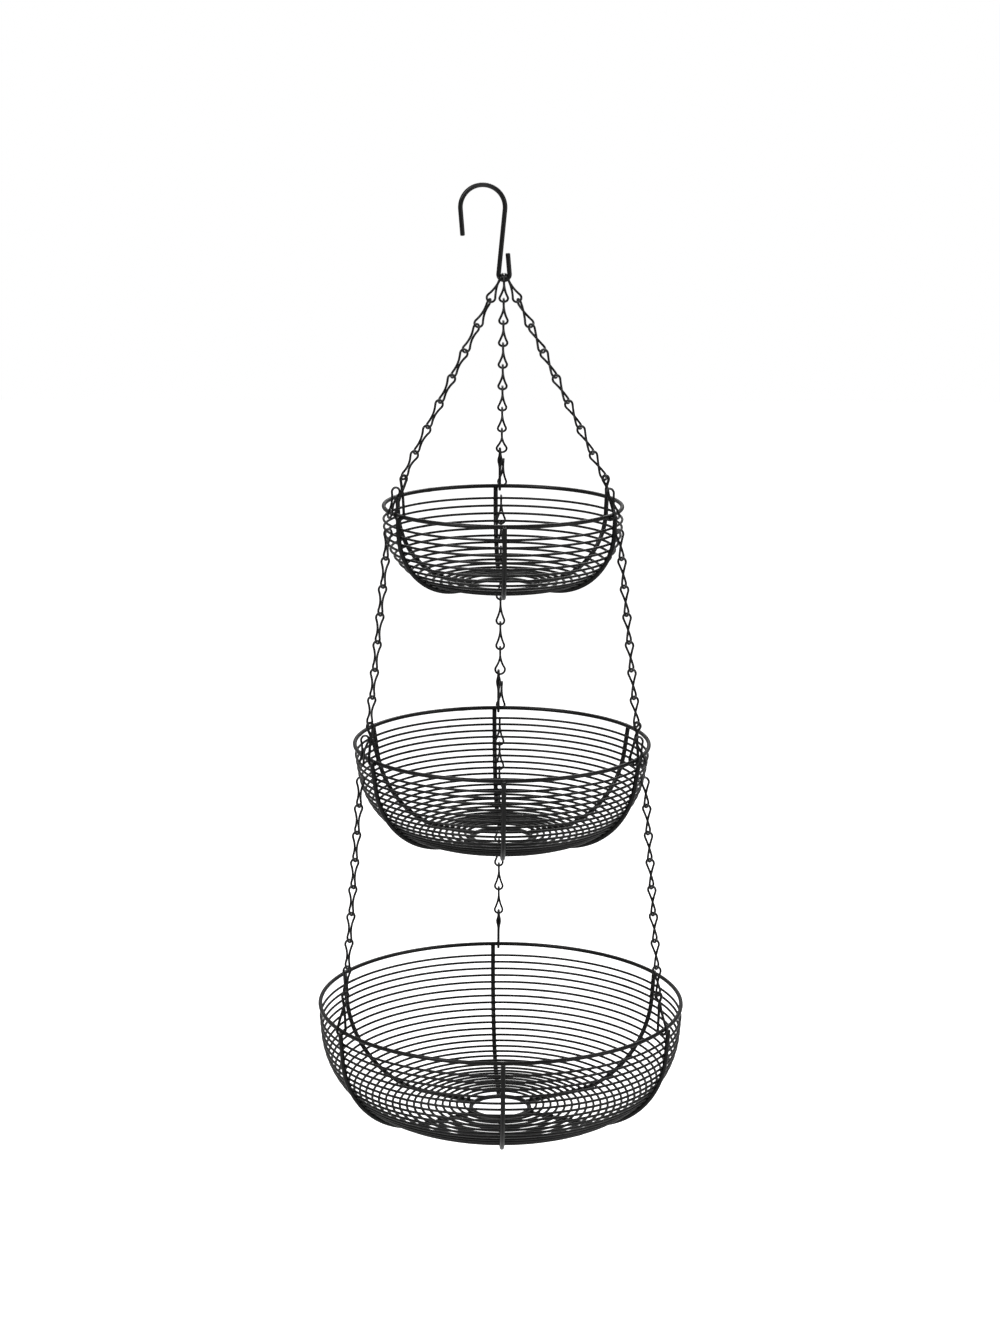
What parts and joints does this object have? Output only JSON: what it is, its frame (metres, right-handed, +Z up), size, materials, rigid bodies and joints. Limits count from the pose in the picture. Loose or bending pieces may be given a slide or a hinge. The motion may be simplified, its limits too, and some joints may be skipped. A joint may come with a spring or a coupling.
{
  "type": "hanging fruit basket",
  "caption": "Hanging fruit basket with round wire bowls in tiers of growing size, hung on link chains from an S-hook.",
  "frame": {"origin": "the saddle of the S-hook, the inside top of its upper bend, where it rests on what carries it", "axes": "+Z up along the hang of the baskets, -Y towards the front between the two front chains, the hook lies in the X-Z plane"},
  "size_m": [0.3236, 0.3308, 0.8219],
  "materials": {
    "hook_wire": "satin",
    "chain_wire": "satin",
    "hanger_wire": "satin",
    "rim_wire": "satin",
    "rib_wire": "satin",
    "ring_wire": "satin"
  },
  "bodies": {
    "root": {"s_hook": "hook_wire"},
    "top_tier": {"upper_chain_back": "chain_wire", "upper_chain_left": "chain_wire", "upper_chain_right": "chain_wire", "top_hanger_back": "hanger_wire", "top_hanger_left": "hanger_wire", "top_hanger_right": "hanger_wire", "middle_chain_lead_back": "chain_wire", "middle_chain_lead_left": "chain_wire", "middle_chain_lead_right": "chain_wire", "top_rim": "rim_wire", "top_ribs": "rib_wire", "top_wall_rings": "ring_wire", "top_floor_rings": "ring_wire", "top_centre_ring": "rib_wire"},
    "middle_back_run": {"middle_chain_back": "chain_wire"},
    "middle_left_run": {"middle_chain_left": "chain_wire"},
    "middle_right_run": {"middle_chain_right": "chain_wire"},
    "mid_tier": {"mid_hanger_back": "hanger_wire", "mid_hanger_left": "hanger_wire", "mid_hanger_right": "hanger_wire", "lower_chain_lead_back": "chain_wire", "lower_chain_lead_left": "chain_wire", "lower_chain_lead_right": "chain_wire", "mid_rim": "rim_wire", "mid_ribs": "rib_wire", "mid_wall_rings": "ring_wire", "mid_floor_rings": "ring_wire", "mid_centre_ring": "rib_wire"},
    "lower_back_run": {"lower_chain_back": "chain_wire", "bottom_hanger_back": "hanger_wire"},
    "lower_left_run": {"lower_chain_left": "chain_wire", "bottom_hanger_left": "hanger_wire"},
    "lower_right_run": {"lower_chain_right": "chain_wire", "bottom_hanger_right": "hanger_wire"},
    "bottom_tier": {"bottom_rim": "rim_wire", "bottom_ribs": "rib_wire", "bottom_wall_rings": "ring_wire", "bottom_floor_rings": "ring_wire", "bottom_centre_ring": "rib_wire"}
  },
  "joints": [
    {"name": "basket_swing", "type": "hinge", "parent": "root", "child": "top_tier", "pos_m": [0.0181, 0, -0.0771], "axis": [1, 0, 0], "range_deg": [-20, 20]},
    {"name": "middle_back_swing", "type": "hinge", "parent": "top_tier", "child": "middle_back_run", "pos_m": [0.0181, 0.11183, -0.28112], "axis": [1, 0, 0], "range_deg": [-8, 8]},
    {"name": "middle_left_swing", "type": "hinge", "parent": "top_tier", "child": "middle_left_run", "pos_m": [-0.07874, -0.05591, -0.28112], "axis": [1, 0, 0], "range_deg": [-8, 8]},
    {"name": "middle_right_swing", "type": "hinge", "parent": "top_tier", "child": "middle_right_run", "pos_m": [0.11494, -0.05591, -0.28112], "axis": [1, 0, 0], "range_deg": [-8, 8]},
    {"name": "mid_basket_level", "type": "hinge", "parent": "middle_back_run", "child": "mid_tier", "pos_m": [0.0181, 0.13054, -0.44472], "axis": [1, 0, 0], "range_deg": [-8, 8]},
    {"name": "lower_back_swing", "type": "hinge", "parent": "mid_tier", "child": "lower_back_run", "pos_m": [0.0181, 0.13942, -0.49253], "axis": [1, 0, 0], "range_deg": [-8, 8]},
    {"name": "lower_left_swing", "type": "hinge", "parent": "mid_tier", "child": "lower_left_run", "pos_m": [-0.10264, -0.06971, -0.49253], "axis": [1, 0, 0], "range_deg": [-8, 8]},
    {"name": "lower_right_swing", "type": "hinge", "parent": "mid_tier", "child": "lower_right_run", "pos_m": [0.13884, -0.06971, -0.49253], "axis": [1, 0, 0], "range_deg": [-8, 8]},
    {"name": "bottom_basket_level", "type": "hinge", "parent": "lower_back_run", "child": "bottom_tier", "pos_m": [0.0181, 0.16, -0.71519], "axis": [1, 0, 0], "range_deg": [-8, 8]}
  ],
  "couplings": [
    {"joint": "middle_left_swing", "follows": "middle_back_swing", "ratio": 1},
    {"joint": "middle_right_swing", "follows": "middle_back_swing", "ratio": 1},
    {"joint": "mid_basket_level", "follows": "middle_back_swing", "ratio": -0.8566},
    {"joint": "lower_left_swing", "follows": "lower_back_swing", "ratio": 1},
    {"joint": "lower_right_swing", "follows": "lower_back_swing", "ratio": 1},
    {"joint": "bottom_basket_level", "follows": "lower_back_swing", "ratio": -0.8713}
  ]
}
